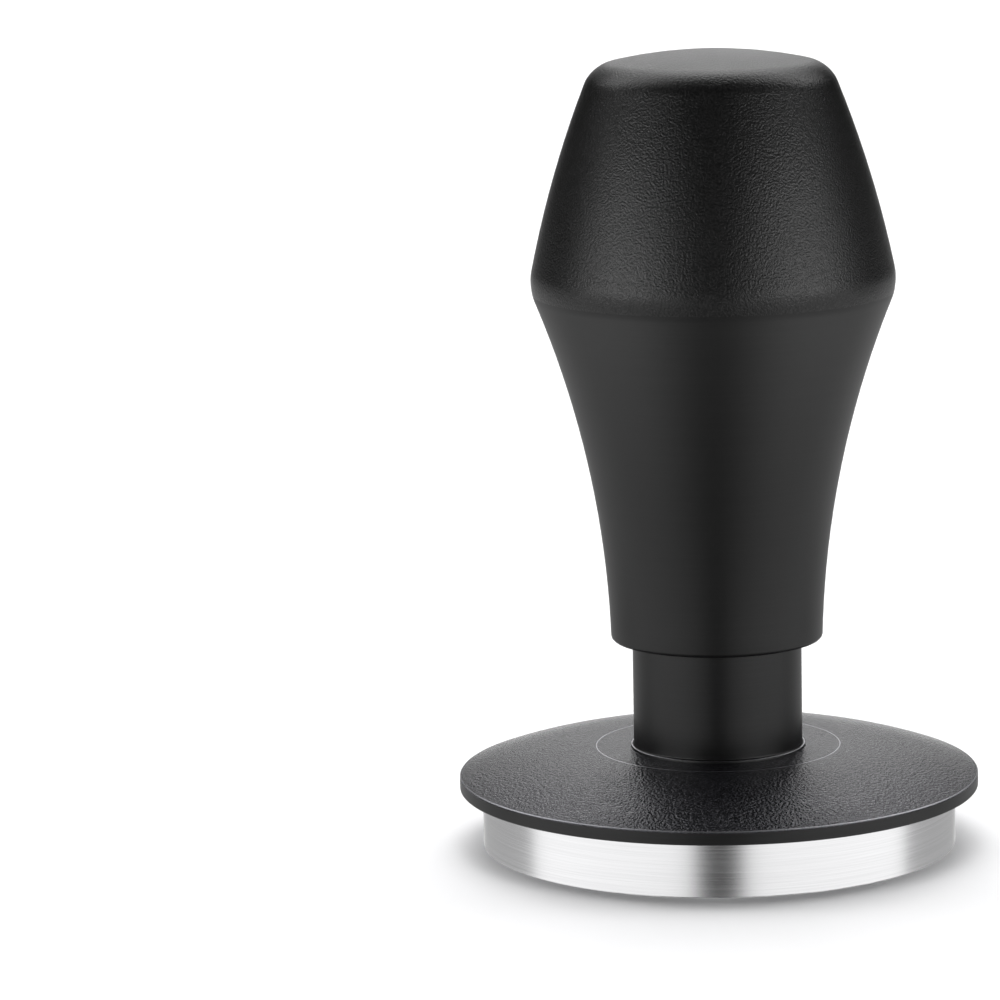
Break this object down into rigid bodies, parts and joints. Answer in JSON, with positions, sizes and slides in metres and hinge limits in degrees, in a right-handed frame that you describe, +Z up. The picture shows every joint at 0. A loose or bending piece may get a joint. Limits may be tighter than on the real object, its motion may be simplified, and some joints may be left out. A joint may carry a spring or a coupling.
{
  "type": "espresso tamper",
  "caption": "Sprung, self-levelling coffee tamper: flared black grip over a black neck and levelling plate, on a steel base with a rippled tamping face.",
  "frame": {"origin": "on the axis, at the plane that the rim of the rippled base rests on", "axes": "+Z up the axis of turning, from the tamping face to the top of the grip; the object is the same all round it"},
  "size_m": [0.064, 0.064, 0.0978],
  "materials": {
    "turned_stainless": "fine turned",
    "turned_stainless_shaft": "ground",
    "zinc_plated_steel": "satin",
    "spring_steel": "drawn wire",
    "brass_insert": "machined",
    "black_rubber": "moulded",
    "white_low_friction_plastic": "machined",
    "black_low_friction_plastic": "machined",
    "black_anodised_grip": "bead-blasted and anodised black",
    "black_anodised_neck": "turned and anodised black",
    "black_anodised_plate": "blasted and anodised black, sparkling grain"
  },
  "bodies": {
    "base": {"tamper_base": "turned_stainless", "base_stud": "zinc_plated_steel", "base_o_ring": "black_rubber", "centre_shaft": "turned_stainless_shaft", "piston_wear_ring": "white_low_friction_plastic", "lower_spring_seat": "zinc_plated_steel", "main_spring": "spring_steel", "travel_stop_sleeve": "white_low_friction_plastic", "levelling_spring": "spring_steel"},
    "spring_follower": {"upper_spring_seat": "zinc_plated_steel"},
    "handle": {"handle_body": "black_anodised_grip", "handle_insert": "brass_insert", "handle_bolt": "zinc_plated_steel", "bolt_washer": "zinc_plated_steel", "bolt_buffer": "black_rubber", "skirt_bush": "black_low_friction_plastic"},
    "plate_carrier": {"levelling_spring_seat": "zinc_plated_steel"},
    "plate": {"levelling_plate": "black_anodised_plate", "neck_sleeve": "black_anodised_neck", "plate_bush": "black_low_friction_plastic"}
  },
  "joints": [
    {"name": "handle_press", "type": "slide", "parent": "base", "child": "spring_follower", "axis": [0, 0, -1], "range_m": [0, 0.006], "stiffness_N_per_m": 7000, "springref_m": -0.0127, "deforming": ["main_spring"]},
    {"name": "handle_spin", "type": "hinge", "parent": "spring_follower", "child": "handle", "pos_m": [0, 0, 0.08], "axis": [0, 0, 1], "continuous": true},
    {"name": "plate_lift", "type": "slide", "parent": "base", "child": "plate_carrier", "axis": [0, 0, 1], "range_m": [0, 0.007], "stiffness_N_per_m": 250, "springref_m": -0.01, "deforming": ["levelling_spring"]},
    {"name": "plate_spin", "type": "hinge", "parent": "plate_carrier", "child": "plate", "pos_m": [0, 0, 0.015], "axis": [0, 0, 1], "continuous": true}
  ]
}
